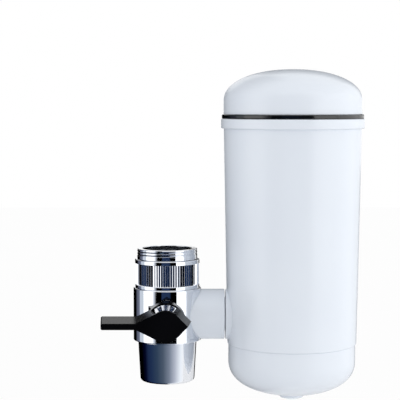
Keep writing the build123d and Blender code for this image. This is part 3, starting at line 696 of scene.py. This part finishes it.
@dataclass
class UnionNut:
    """Ribbed nut."""

    flange: float = 15.05
    top: float = -4.9
    flange_low: float = -6.8
    rib: float = 14.75
    rib_depth: float = 0.54
    rib_shares: tuple[float, ...] = (0.0, 0.02, 0.25, 0.48, 0.52, 0.75, 0.98)
    rib_depths: tuple[float, ...] = (1.0, 0.97, 0.5, 0.0, 0.0, 0.5, 0.97)
    ribs: int = 80
    upper_fade: float = 0.02
    lower_fade: float = 0.15
    skin: float = 0.01
    row_steps: tuple[float, ...] = (0.02, 0.09, 0.16, 1.0, 3.0)
    lip: float = 14.95
    lip_top: float = -16.8
    bottom: float = -18.3
    thread: float = 13.05
    thread_end: float = -12.0
    relief: float = 13.3
    ledge: float = -15.4
    neck: float = 10.85
    crease: float = 32.0

    def ribbing(self, angle: np.ndarray, rows: np.ndarray) -> np.ndarray:
        """Sharp upright ribs on the middle band.

        Within each rib the depth runs in straight lines through the shares and depths, and it fades at
        both ends of the band.

        Args:
            angle: angles round the axis, one row.
            rows: (radius, height) of the outline.

        Returns:
            Change of radius for each row and angle.
        """
        radius, height = rows[:, :1], rows[:, 1:]
        share = np.mod(angle * self.ribs / (2 * math.pi), 1.0)
        groove = np.interp(share, (*self.rib_shares, 1.0), (*self.rib_depths, self.rib_depths[0]))
        upper = np.clip((self.flange_low - height) / self.upper_fade, 0, 1)
        lower = np.clip((height - self.lip_top) / self.lower_fade, 0, 1)
        outside = np.abs(radius - self.rib) < self.skin
        return -self.rib_depth * groove * (upper * lower) * outside

    def build(self, palette: Palette) -> None:
        """Make the nut.

        Args:
            palette: the materials.
        """
        band = [(self.rib, self.lip_top + step, 0.0) for step in self.row_steps]
        band += [(self.rib, self.flange_low - step, 0.0) for step in self.row_steps[::-1]]
        outline = rounded_outline([
            (self.neck, self.bottom, 0.15),
            (self.lip, self.bottom, 0.25),
            (self.lip, self.lip_top, 0.05),
            *band,
            (self.flange, self.flange_low, 0.1),
            (self.flange, self.top, 0.45),
            (self.thread, self.top, 0.3),
            (self.thread, self.thread_end, 0.1),
            (self.relief, self.thread_end, 0.1),
            (self.relief, self.ledge, 0.1),
            (self.neck, self.ledge, 0.1),
        ])
        rib = np.arange(self.ribs)[:, None] + np.array(self.rib_shares)
        shell = turned(outline, relief=self.ribbing, angle=2 * math.pi * rib.ravel() / self.ribs)
        place_piece(palette, "ribbed_nut", shell, Finish.CHROME, Body.NUT, ["union_nut"], self.crease)


@dataclass
class Valve:
    """Plated body with its front boss, and the conical bonnet."""

    radius: float = 15.8
    top: float = -18.3
    bottom: float = -42.9
    neck: float = 10.8
    neck_top: float = -13.5
    groove: float = 9.9
    groove_top: float = -14.2
    groove_low: float = -15.4
    pilot: float = 7.95
    pilot_top: float = -10.0
    bore: float = 4.2
    spigot: float = 11.6
    spigot_low: float = -50.0
    boss: float = 8.25
    boss_root: float = 10.0
    boss_end: float = 18.0
    shank: float = 7.05
    shank_gap: float = 0.3
    stem: float = 3.05
    cone_start: float = 25.0
    cone: float = 5.9
    front: float = 36.0
    cavity: float = 4.8
    cavity_start: float = 28.0

    def body(self, palette: Palette) -> None:
        """Make the body: a turned shell with neck and spigot, and the boss let into its front.

        Args:
            palette: the materials.
        """
        outline = rounded_outline([
            (self.bore, self.spigot_low, 0.2),
            (self.spigot, self.spigot_low, 0.3),
            (self.spigot, self.bottom, 0.05),
            (self.radius, self.bottom, 0.3),
            (self.radius, self.top, 0.5),
            (self.neck, self.top, 0.1),
            (self.neck, self.groove_low, 0.05),
            (self.groove, self.groove_low, 0.05),
            (self.groove, self.groove_top, 0.05),
            (self.neck, self.groove_top, 0.05),
            (self.neck, self.neck_top, 0.2),
            (self.pilot, self.neck_top, 0.05),
            (self.pilot, self.pilot_top, 0.2),
            (self.bore, self.pilot_top, 0.3),
        ])
        boss = rounded_outline([
            (self.shank + self.shank_gap, self.boss_root, 0.0),
            (self.boss, self.boss_root, 0.0),
            (self.boss, self.boss_end, 0.12),
            (self.shank + self.shank_gap, self.boss_end, 0.1),
        ])
        shell = turned(outline, ROUND_STEPS) + turned(boss, BOSS_STEPS).to_front(CROSS_AXIS_Z)
        place_piece(palette, "valve_casting", shell, Finish.CHROME, Body.VALVE, ["valve_body"])

    def bonnet(self, palette: Palette) -> None:
        """Make the conical bonnet.

        Args:
            palette: the materials.
        """
        outline = rounded_outline([
            (self.stem, self.boss_root, 0.1),
            (self.shank, self.boss_root, 0.2),
            (self.shank, self.boss_end, 0.05),
            (self.boss, self.boss_end, 0.12),
            (self.boss, self.cone_start, 0.3),
            (self.cone, self.front, 0.3),
            (self.cavity, self.front, 0.2),
            (self.cavity, self.cavity_start, 0.1),
            (self.stem, self.cavity_start, 0.1),
        ])
        shell = turned(outline).to_front(CROSS_AXIS_Z)
        place_piece(palette, "conical_bonnet", shell, Finish.CHROME, Body.VALVE, ["bonnet"])

    def build(self, palette: Palette) -> None:
        """Make the body and the bonnet."""
        self.body(palette)
        self.bonnet(palette)


@dataclass
class Aerator:
    """Tapered plated shell under the valve."""

    top: float = -43.1
    top_r: float = 13.69
    low: float = -62.2
    low_r: float = 12.62
    low_rounding: float = 1.4
    mouth: float = 10.0
    ledge: float = -60.7
    inner: float = 11.0
    thread: float = 11.65
    thread_end: float = -52.2

    def build(self, palette: Palette) -> None:
        """Make the shell.

        Args:
            palette: the materials.
        """
        outline = rounded_outline([
            (self.mouth, self.low, 0.25),
            (self.low_r, self.low, self.low_rounding),
            (self.top_r, self.top, 0.25),
            (self.thread, self.top, 0.1),
            (self.thread, self.thread_end, 0.1),
            (self.inner, self.thread_end, 0.1),
            (self.inner, self.ledge, 0.1),
            (self.mouth, self.ledge, 0.1),
        ])
        shell = turned(outline, ROUND_STEPS)
        place_piece(palette, "aerator_sleeve", shell, Finish.CHROME, Body.VALVE, ["aerator_shell"])


def squared_ellipse(
    radius: float, base: float, height: float, fullness: float, steps: int = 40
) -> np.ndarray:
    """Outline of a dome, from the rim to the pole.

    With t from 0 to a quarter turn, the radius is R cos(t)^(2/n) and the height is H sin(t)^(2/n).

    Args:
        radius: R, at the rim.
        base: height of the rim.
        height: H, negative for a dome that hangs.
        fullness: n, 2 for an ellipse and more for a squarer one.
        steps: spans along the curve.

    Returns:
        Rows of (radius, height) from the rim to the pole.
    """
    turn = np.linspace(0, math.pi / 2, steps + 1)
    cosine = np.clip(np.cos(turn), 0, 1)
    cosine[-1] = 0.0
    across = radius * cosine ** (2 / fullness)
    return np.column_stack([across, base + height * np.sin(turn) ** (2 / fullness)])


@dataclass
class FilterCap:
    """Domed white cap with its skirt, and the black seal ring under it."""

    radius: float = 32.05
    wall: float = 2.4
    dome_base: float = 68.84
    dome_height: float = 14.27
    fullness: float = 2.13
    margin: float = 0.5
    skirt_in: float = 26.6
    skirt_out: float = 28.9
    skirt_length: float = 12.0
    seal: float = 32.95
    seal_in: float = 28.95

    def cap(self, palette: Palette) -> None:
        """Make the cap.

        Args:
            palette: the materials.
        """
        inner_r = self.radius - self.wall
        outer = squared_ellipse(self.radius, self.dome_base, self.dome_height, self.fullness)
        inner = squared_ellipse(inner_r, self.dome_base, self.dome_height - self.wall, self.fullness)
        step_z = SEAL_TOP + self.wall
        skirt_z = SEAL_TOP - self.skirt_length
        rim = rounded_outline([
            (inner_r, self.dome_base - self.margin, 0.0),
            (inner_r, step_z, 0.3),
            (self.skirt_in, step_z, 0.3),
            (self.skirt_in, skirt_z, 0.4),
            (self.skirt_out, skirt_z, 0.4),
            (self.skirt_out, SEAL_TOP, 0.1),
            (self.radius, SEAL_TOP, 0.3),
            (self.radius, self.dome_base - self.margin, 0.0),
        ], closed=False)
        outline = np.vstack([inner[::-1], rim, outer])
        shell = turned(outline, ROUND_STEPS).shifted(FILTER_X)
        place_piece(palette, "domed_cap", shell, Finish.WHITE, Body.CAP, ["top_cap"])

    def seal_ring(self, palette: Palette) -> None:
        """Make the black ring.

        Args:
            palette: the materials.
        """
        outline = rounded_outline([
            (self.seal_in, HOUSING_TOP, 0.1),
            (self.seal, HOUSING_TOP, 0.5),
            (self.seal, SEAL_TOP, 0.5),
            (self.seal_in, SEAL_TOP, 0.1),
        ])
        shell = turned(outline, ROUND_STEPS).shifted(FILTER_X)
        place_piece(palette, "seal_band", shell, Finish.BLACK, Body.SEAL, ["seal_ring"], look=Finish.SEAL)

    def build(self, palette: Palette) -> None:
        """Make the cap and its seal."""
        self.cap(palette)
        self.seal_ring(palette)


@dataclass
class FilterHousing:
    """Tapered white housing with a boss for the arm."""

    bottom_r: float = 30.15
    bottom_wall: float = 2.5
    top_r: float = 31.97
    top_wall: float = 3.6
    collar: float = 33.25
    collar_low: float = 55.8
    mouth: float = 29.2
    mouth_low: float = 46.5
    mouth_slope: float = 1.0
    boss_gap: float = 0.45
    boss_root: float = 33.0
    socket: float = 8.1

    def build(self, palette: Palette) -> None:
        """Make the housing and its boss.

        Args:
            palette: the materials.
        """
        outline = rounded_outline([
            (self.bottom_r - self.bottom_wall, FILTER_BOTTOM, 0.1),
            (self.bottom_r, FILTER_BOTTOM, 0.35),
            (self.top_r, self.collar_low, 0.12),
            (self.collar, self.collar_low, 0.5),
            (self.collar, HOUSING_TOP, 0.5),
            (self.mouth, HOUSING_TOP, 0.2),
            (self.mouth, self.mouth_low, 0.1),
            (self.top_r - self.top_wall, self.mouth_low - self.mouth_slope, 0.3),
        ])
        start_x = ARM_END + self.boss_gap
        boss = rounded_outline([
            (self.socket, start_x, 0.1),
            (ARM_R, start_x, 0.35),
            (ARM_R, self.boss_root, 0.0),
            (self.socket, self.boss_root, 0.0),
        ][::-1])
        tube = turned(outline, ROUND_STEPS).shifted(FILTER_X)
        shell = tube + turned(boss, BOSS_STEPS).to_side(CROSS_AXIS_Z)
        place_piece(palette, "tapered_housing", shell, Finish.WHITE, Body.VALVE, ["filter_housing"])


@dataclass
class FootCap:
    """Lower dome with the outlet nub, the socket inside and the rim that enters the housing."""

    radius: float = 29.67
    wall: float = 2.4
    dome_base: float = -52.7
    dome_height: float = 15.63
    fullness: float = 2.28
    margin: float = 0.5
    inner_margin: float = 0.3
    nub: float = 5.6
    nub_low: float = -70.4
    nub_bore: float = 3.4
    nub_blend: float = 1.2
    nub_root: float = 0.05
    socket: float = 7.6
    socket_blend: float = 0.2
    socket_top: float = -56.0
    rim_out: float = 27.35
    rim_in: float = 25.35
    rim_height: float = 2.5

    def build(self, palette: Palette) -> None:
        """Make the foot cap.

        Args:
            palette: the materials.
        """
        inner_r = self.radius - self.wall
        outer = squared_ellipse(self.radius, self.dome_base, -self.dome_height, self.fullness)
        inner = squared_ellipse(inner_r, self.dome_base, self.wall - self.dome_height, self.fullness)
        outer = outer[outer[:, 0] > self.nub + self.nub_blend][::-1]
        inner = inner[inner[:, 0] > self.socket + self.socket_blend]
        nub = rounded_outline([
            (self.nub_bore, self.socket_top, 0.3),
            (self.nub_bore, self.nub_low, 0.4),
            (self.nub, self.nub_low, 0.9),
            (self.nub, self.dome_base - self.dome_height + self.nub_root, 0.4),
            (*outer[0], 0.0),
        ], closed=False)
        socket = np.array([[self.socket, inner[-1, 1]], [self.socket, self.socket_top]])
        rim_z = FILTER_BOTTOM + self.rim_height
        rim = rounded_outline([
            (self.radius, self.dome_base + self.margin, 0.0),
            (self.radius, FILTER_BOTTOM, 0.3),
            (self.rim_out, FILTER_BOTTOM, 0.05),
            (self.rim_out, rim_z, 0.3),
            (self.rim_in, rim_z, 0.3),
            (self.rim_in, FILTER_BOTTOM, 0.3),
            (inner_r, FILTER_BOTTOM - self.wall, 0.2),
            (inner_r, self.dome_base + self.inner_margin, 0.0),
        ], closed=False)
        outline = np.vstack([nub[:-1], outer, rim, inner, socket])
        shell = turned(outline, ROUND_STEPS).shifted(FILTER_X)
        place_piece(palette, "domed_foot", shell, Finish.WHITE, Body.VALVE, ["bottom_cap"])


@dataclass
class SideArm:
    """White arm from the valve to the housing."""

    saddle: float = 15.83
    foot_chamfer: float = 0.15
    foot_rows: tuple[float, float] = (0.2, 0.6)
    edge: float = 0.35
    edge_share: float = 0.3
    guard: float = 0.3
    tail: float = 7.8
    tail_end: float = 31.8
    spigot: float = 7.0
    spigot_start: float = 8.6
    bore: float = 4.2
    segments: int = 160

    def build(self, palette: Palette) -> None:
        """Make the arm, whose valve end follows the body's round side.

        A point at angle a is at (R cos a, R sin a) from the arm's axis. Along the arm its row stands at
        one distance from the valve's axis, or near the valve at the saddle's sqrt(S^2 - (R cos a)^2).

        Args:
            palette: the materials.
        """
        angle = np.linspace(0, 2 * math.pi, self.segments, endpoint=False)
        foot = np.sqrt(self.saddle**2 - (ARM_R * np.cos(angle)) ** 2)
        level = np.zeros_like(foot)
        near, far = self.foot_rows
        rows = [
            (ARM_R - self.foot_chamfer, foot),
            (ARM_R, foot + near),
            (ARM_R, foot + far),
            (ARM_R, level + (ARM_END - self.edge - self.guard)),
            (ARM_R, level + (ARM_END - self.edge)),
            (ARM_R - self.edge * self.edge_share, level + (ARM_END - self.edge * self.edge_share)),
            (ARM_R - self.edge, level + ARM_END),
            (ARM_R - self.edge - self.guard, level + ARM_END),
            (self.tail, level + ARM_END),
            (self.tail, level + self.tail_end),
            (self.bore, level + self.tail_end),
            (self.bore, level + self.spigot_start),
            (self.spigot, level + self.spigot_start),
            (self.spigot, foot),
        ]
        rings = np.stack([
            np.column_stack([along, radius * np.cos(angle), CROSS_AXIS_Z + radius * np.sin(angle)])
            for radius, along in rows
        ])
        shell = Shell(rings.reshape(-1, 3), wrapped_faces(*rings.shape[:2]))
        place_piece(palette, "side_arm", shell, Finish.WHITE, Body.VALVE, ["outlet_arm"])


@dataclass(frozen=True)
class Card:
    """Curved panel round the valve: a soft lamp, or a dark or graded one that only the gloss shows.

    Its stops are (azimuth in degrees, colour), the fade is the two heights between which the colour
    rises from black, and the flare is how much wider the upper edge is than the lower one.
    """

    name: str
    low: float
    high: float
    radius: float
    stops: tuple[Stop, ...]
    strength: float = 1.0
    fade: tuple[float, float] | None = None
    lights: bool = False
    flare: float = 0.0

    @property
    def ends(self) -> tuple[float, float]:
        """First and last azimuth."""
        return self.stops[0][0], self.stops[-1][0]


# Card radii and heights in metres: the far and near rings, the usual lower and upper edge, the lamps'
# lower edge and the tray under the part.
FAR = 1.1
NEAR = 0.9
LOW = -0.25
HIGH = 0.75
LAMP_LOW = -0.215
TRAY = -0.44

BLACK: Colour = (0.0, 0.0, 0.0)
DUSK: Colour = (0.05, 0.06, 0.08)
NAVY: Colour = (0.018, 0.035, 0.085)
WHITE: Colour = (1.0, 1.0, 1.0)

LOW_SHADES: tuple[Stop, ...] = (
    (-180.0, BLACK),
    (-122.0, BLACK),
    (-99.0, (0.001, 0.002, 0.016)),
    (-82.0, (0.012, 0.024, 0.07)),
    (-67.0, (0.015, 0.032, 0.083)),
    (-41.0, (0.032, 0.056, 0.1)),
    (-16.0, (0.075, 0.103, 0.148)),
    (8.0, (0.2, 0.235, 0.3)),
    (32.0, (0.49, 0.52, 0.6)),
    (57.0, (0.92, 0.96, 1.0)),
    (71.0, WHITE),
)
SIDE_SHADES: tuple[Stop, ...] = (
    (-128.0, (0.08, 0.085, 0.12)),
    (-107.0, (0.18, 0.2, 0.27)),
    (-105.0, (0.62, 0.67, 0.75)),
    (-87.0, (0.62, 0.67, 0.72)),
)
LEFT_SHADES: tuple[Stop, ...] = (
    (-86.0, WHITE),
    (-52.0, WHITE),
    (-44.0, (0.4, 0.42, 0.46)),
    (-37.0, BLACK),
)
NAVY_SHADES: tuple[Stop, ...] = (
    (-18.0, NAVY),
    (-10.0, NAVY),
    (8.0, NAVY),
    (14.0, BLACK),
)


def even(start: float, end: float, colour: Colour) -> tuple[Stop, ...]:
    """Stops of one colour between two azimuths."""
    return (start, colour), (end, colour)


@dataclass
class Studio:
    """Floor, panels, world and camera, with lengths in metres and angles in degrees."""

    floor_height: float = -0.45
    floor_half: float = 6.0
    floor_glow: float = 0.92
    floor_roughness: float = 0.9
    paper: Colour = (0.93, 0.93, 0.93)
    mottle: Colour = (0.91, 0.91, 0.91)
    mottle_scale: float = 3.0
    mottle_edges: tuple[float, float] = (0.3, 0.7)
    camera_place: tuple[float, float, float] = (0.01530, -0.62613, 0.06790)
    pitch: float = -4.1517
    focal_pixels: float = 1347.3
    clip: tuple[float, float] = (0.01, 50.0)
    world_fill: float = 0.86
    card_spans: int = 48
    cards: tuple[Card, ...] = (
        Card("back_left_flag", LOW, 0.32, FAR, even(-172.0, -128.0, BLACK), lights=True),
        Card("tall_left_flag", 0.32, HIGH, FAR, even(-150.0, -128.0, BLACK), lights=True),
        Card("shoulder_flag", HIGH, 2.2, FAR, even(-178.0, -110.0, DUSK)),
        Card("back_right_flag", TRAY, -0.02, FAR, even(150.0, 180.0, BLACK)),
        Card("side_panel", LOW, HIGH, FAR, SIDE_SHADES, lights=True),
        Card("left_lamp", LAMP_LOW, HIGH, NEAR, LEFT_SHADES, strength=1.45, lights=True),
        Card("dark_gap_left", LOW, HIGH, FAR, even(-37.0, -18.0, BLACK)),
        Card("navy_flag", LOW, HIGH, FAR, NAVY_SHADES, fade=(-0.195, -0.18)),
        Card("dark_gap_right", LOW, HIGH, FAR, even(14.0, 33.0, BLACK)),
        Card("right_lamp", LAMP_LOW, HIGH, NEAR, even(33.0, 70.0, WHITE), strength=1.5, lights=True),
        Card("right_side_lamp", -0.3, HIGH, FAR, even(72.0, 120.0, WHITE), strength=1.4, lights=True),
        Card("dome_flag", 0.12, HIGH, FAR, even(150.0, 180.0, BLACK)),
        Card("low_panel", TRAY, LAMP_LOW, NEAR, LOW_SHADES),
        Card("low_tray", TRAY, TRAY, 0.01, LOW_SHADES, flare=0.89),
    )

    def card_mesh(self, plan: Card) -> bpy.types.Mesh:
        """Make a panel's mesh.

        A point at azimuth a and height h is (sin a, -cos a) times the radius there, with a counted from
        the camera's side towards the filter.

        Args:
            plan: the panel's place.

        Returns:
            The new mesh.
        """
        start, end = plan.ends
        spans = self.card_spans
        across, up = np.meshgrid(np.radians(np.linspace(start, end, spans + 1)), [plan.low, plan.high])
        radius = plan.radius + plan.flare * np.array([[0.0], [1.0]])
        points = np.stack([radius * np.sin(across), -radius * np.cos(across), up], axis=-1)
        column = np.arange(spans)
        faces = np.column_stack([column, column + spans + 1, column + spans + 2, column + 1])
        mesh = bpy.data.meshes.new(plan.name)
        mesh.from_pydata(points.reshape(-1, 3).tolist(), [], faces.tolist())
        return mesh

    def card_material(self, plan: Card) -> bpy.types.Material:
        """Make a panel's material, black but for the light that it sends out.

        Args:
            plan: the panel's colours, fade and strength.

        Returns:
            The new material.
        """
        start, end = plan.ends
        material, graph = new_material(plan.name)
        share = (graph.azimuth() - start) / (end - start)
        stops = [((azimuth - start) / (end - start), colour) for azimuth, colour in plan.stops]
        glow = graph.node("ShaderNodeValToRGB", {"stops": stops}, {"Fac": share}, "Color")
        if plan.fade is not None:
            height = graph.node("ShaderNodeSeparateXYZ", values={"Vector": graph.place()}, out="Z")
            glow = graph.mix(height.smooth(*plan.fade), BLACK, glow)
        graph.surface({
            "Base Color": (*BLACK, 1.0),
            "Roughness": 1.0,
            "Specular IOR Level": 0.0,
            "Emission Color": glow,
            "Emission Strength": plan.strength,
        })
        return material

    def card(self, plan: Card) -> None:
        """Stand one panel, which the camera doesn't see.

        Args:
            plan: the panel's place, colours and strength.
        """
        mesh = self.card_mesh(plan)
        mesh.materials.append(self.card_material(plan))
        panel = bpy.data.objects.new(plan.name, mesh)
        bpy.context.scene.collection.objects.link(panel)
        panel.visible_camera = False
        panel.visible_diffuse = plan.lights
        panel.visible_shadow = plan.lights

    def floor(self) -> None:
        """Lay the pale floor, which glows for the camera only."""
        mesh = bpy.data.meshes.new("floor")
        half = self.floor_half
        corners = [(-half, -half), (half, -half), (half, half), (-half, half)]
        mesh.from_pydata([(x, y, self.floor_height) for x, y in corners], [], [(0, 1, 2, 3)])
        material, graph = new_material("floor_paper")
        patches = graph.noise(self.mottle_scale).smooth(*self.mottle_edges)
        colour = graph.mix(patches, self.paper, self.mottle)
        values = {"Base Color": colour, "Roughness": self.floor_roughness}
        shader = graph.node("ShaderNodeBsdfPrincipled", values=values, out="BSDF")
        glow = graph.node("ShaderNodeEmission", values={"Strength": 1.0})
        camera = graph.node("ShaderNodeLightPath", out="Is Camera Ray")
        mixed = graph.node("ShaderNodeMixShader", values={0: camera * self.floor_glow, 1: shader, 2: glow})
        graph.node("ShaderNodeOutputMaterial", values={"Surface": mixed})
        mesh.materials.append(material)
        plane = bpy.data.objects.new("floor", mesh)
        bpy.context.scene.collection.objects.link(plane)

    def world(self) -> None:
        """White where the camera, a gloss or a clear piece looks, dimmer as light on the object."""
        world = bpy.data.worlds.new("studio")
        world.use_nodes = True
        bpy.context.scene.world = world
        graph = Graph(world.node_tree)
        camera = graph.node("ShaderNodeLightPath", out="Is Camera Ray")
        gloss = graph.node("ShaderNodeLightPath", out="Is Glossy Ray")
        clear = graph.node("ShaderNodeLightPath", out="Is Transmission Ray")
        seen = camera + gloss + clear
        strength = seen * (1.0 - self.world_fill) + self.world_fill
        light = graph.node("ShaderNodeBackground", values={"Color": (*WHITE, 1.0), "Strength": strength})
        graph.node("ShaderNodeOutputWorld", values={"Surface": light})

    def camera(self) -> None:
        """Stand the camera at the photograph's place."""
        data = bpy.data.cameras.new("camera")
        data.sensor_width = SENSOR_MM
        data.lens = self.focal_pixels / IMAGE_PIXELS * SENSOR_MM
        data.clip_start, data.clip_end = self.clip
        camera = bpy.data.objects.new("camera", data)
        camera.location = self.camera_place
        camera.rotation_euler = Euler((math.radians(90.0 + self.pitch), 0.0, 0.0))
        bpy.context.scene.collection.objects.link(camera)
        bpy.context.scene.camera = camera

    def build(self) -> None:
        """Set the studio up."""
        bpy.context.scene.view_settings.view_transform = "Standard"
        for plan in self.cards:
            self.card(plan)
        self.floor()
        self.world()
        self.camera()


def plain(bounds: Sequence[Sequence[float]]) -> list[list[float]]:
    """Corners as plain lists of numbers."""
    return [[float(number) for number in corner] for corner in bounds]


def main() -> None:
    """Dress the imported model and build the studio."""
    logging.basicConfig(level=logging.INFO, format="%(message)s")
    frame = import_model()
    palette = Palette()
    palette.dress_frame(frame)
    for assembly in (TapAdapter, UnionNut, Valve, Aerator, FilterCap, FilterHousing, FootCap, SideArm):
        assembly().build(palette)
    Studio().build()


if __name__ == "__main__":
    main()
